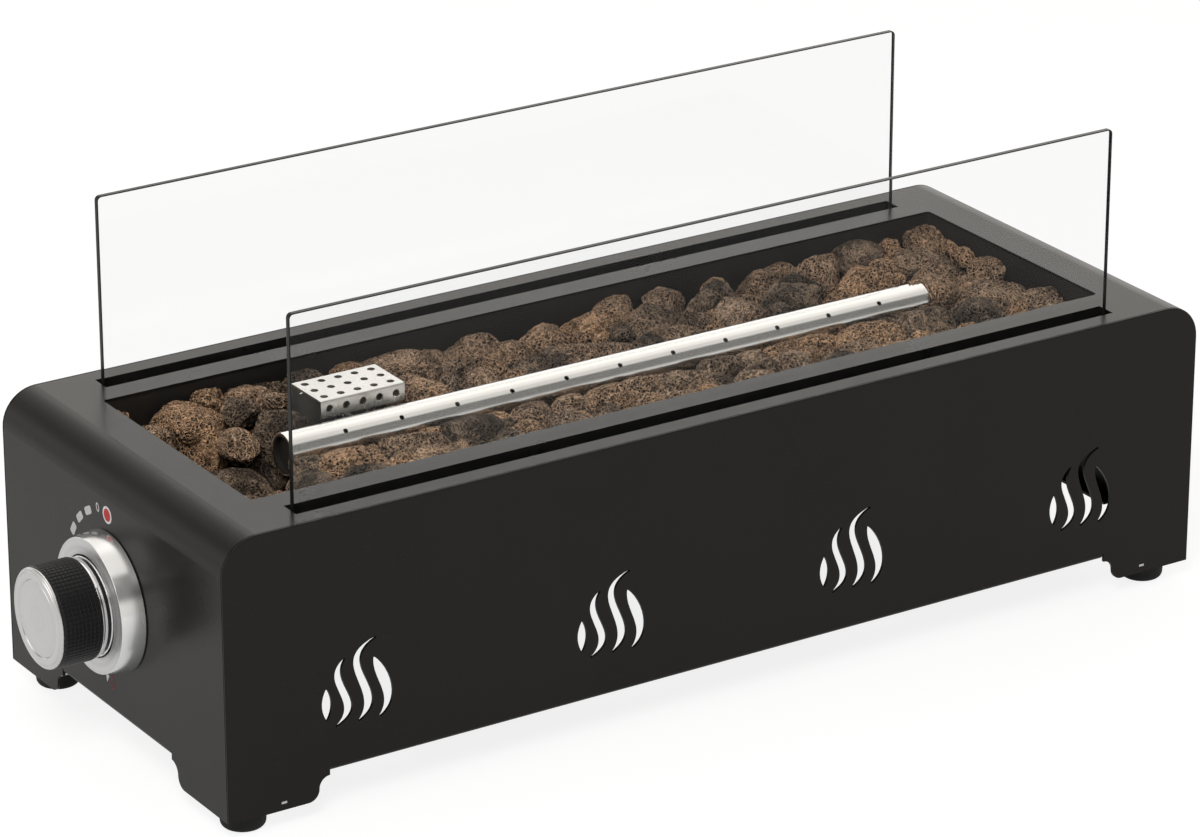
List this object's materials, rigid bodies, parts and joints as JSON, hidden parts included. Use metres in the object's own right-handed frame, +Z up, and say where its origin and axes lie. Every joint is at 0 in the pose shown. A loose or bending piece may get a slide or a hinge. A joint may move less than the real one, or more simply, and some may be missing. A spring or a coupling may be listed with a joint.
{
  "type": "tabletop gas fire pit",
  "caption": "Tabletop gas fire pit: folded steel housing with flame-shaped vents, tube burner in lava rocks, lift-out glass wind guards and a push-and-turn control knob.",
  "frame": {"origin": "on the table plane, under the middle of the part's bounding box", "axes": "+X along the housing away from the control knob, +Y to the rear, +Z up"},
  "size_m": [0.621, 0.2256, 0.2567],
  "materials": {
    "black_powder_coat": "satin",
    "black_enamel": "satin",
    "zinc_plated_steel": "satin",
    "stainless_steel": "polished",
    "black_rubber": "matte",
    "tempered_glass": "clear",
    "brass": "machined",
    "aluminium_pipe": "satin",
    "cast_aluminium": "cast",
    "black_plastic": "satin",
    "chrome_trim": "polished",
    "satin_aluminium": "brushed",
    "white_ceramic": "glazed",
    "lava_rock": "rough"
  },
  "bodies": {
    "housing": {"body_shell": "black_powder_coat", "front_panel": "black_powder_coat", "rear_panel": "black_powder_coat", "foot_plates": "zinc_plated_steel", "rubber_feet": "black_rubber", "foot_screws": "zinc_plated_steel", "foot_nuts": "zinc_plated_steel", "front_glass_channel": "black_powder_coat", "rear_glass_channel": "black_powder_coat", "front_glass_shoes": "black_rubber", "rear_glass_shoes": "black_rubber", "burner_pan": "black_enamel", "pan_nuts": "zinc_plated_steel", "burner_tube": "stainless_steel", "burner_plugs": "stainless_steel", "burner_saddles": "stainless_steel", "mixer_tube": "stainless_steel", "mixer_nut": "zinc_plated_steel", "orifice_elbow": "brass", "gas_pipe": "aluminium_pipe", "pipe_nuts": "brass", "gas_valve": "cast_aluminium", "valve_bracket": "zinc_plated_steel", "inlet_fitting": "brass", "knob_bezel": "satin_aluminium", "bezel_screws": "zinc_plated_steel", "return_spring": "stainless_steel", "igniter_guard": "stainless_steel", "sensor_holder": "stainless_steel", "igniter_electrode": "white_ceramic", "spark_wire": "stainless_steel", "thermocouple": "stainless_steel", "piezo_igniter": "black_plastic", "front_rocks": "lava_rock", "rear_rocks": "lava_rock", "end_rocks": "lava_rock"},
    "knob_push": {"push_plate": "stainless_steel"},
    "knob": {"valve_stem": "stainless_steel", "knob_grip": "black_plastic", "knob_ring": "chrome_trim", "knob_cap": "satin_aluminium"},
    "front_glass": {"front_glass": "tempered_glass"},
    "rear_glass": {"rear_glass": "tempered_glass"}
  },
  "joints": [
    {"name": "knob_press", "type": "slide", "parent": "housing", "child": "knob_push", "axis": [1, 0, 0], "range_m": [0, 0.004], "stiffness_N_per_m": 1500, "springref_m": -0.002, "deforming": ["return_spring"]},
    {"name": "knob_turn", "type": "hinge", "parent": "knob_push", "child": "knob", "pos_m": [-0.2695, 0, 0.086], "axis": [-1, 0, 0], "range_deg": [0, 180]},
    {"name": "front_glass_lift", "type": "slide", "parent": "housing", "child": "front_glass", "axis": [0, 0, 1], "range_m": [0, 0.13]},
    {"name": "rear_glass_lift", "type": "slide", "parent": "housing", "child": "rear_glass", "axis": [0, 0, 1], "range_m": [0, 0.13]}
  ]
}
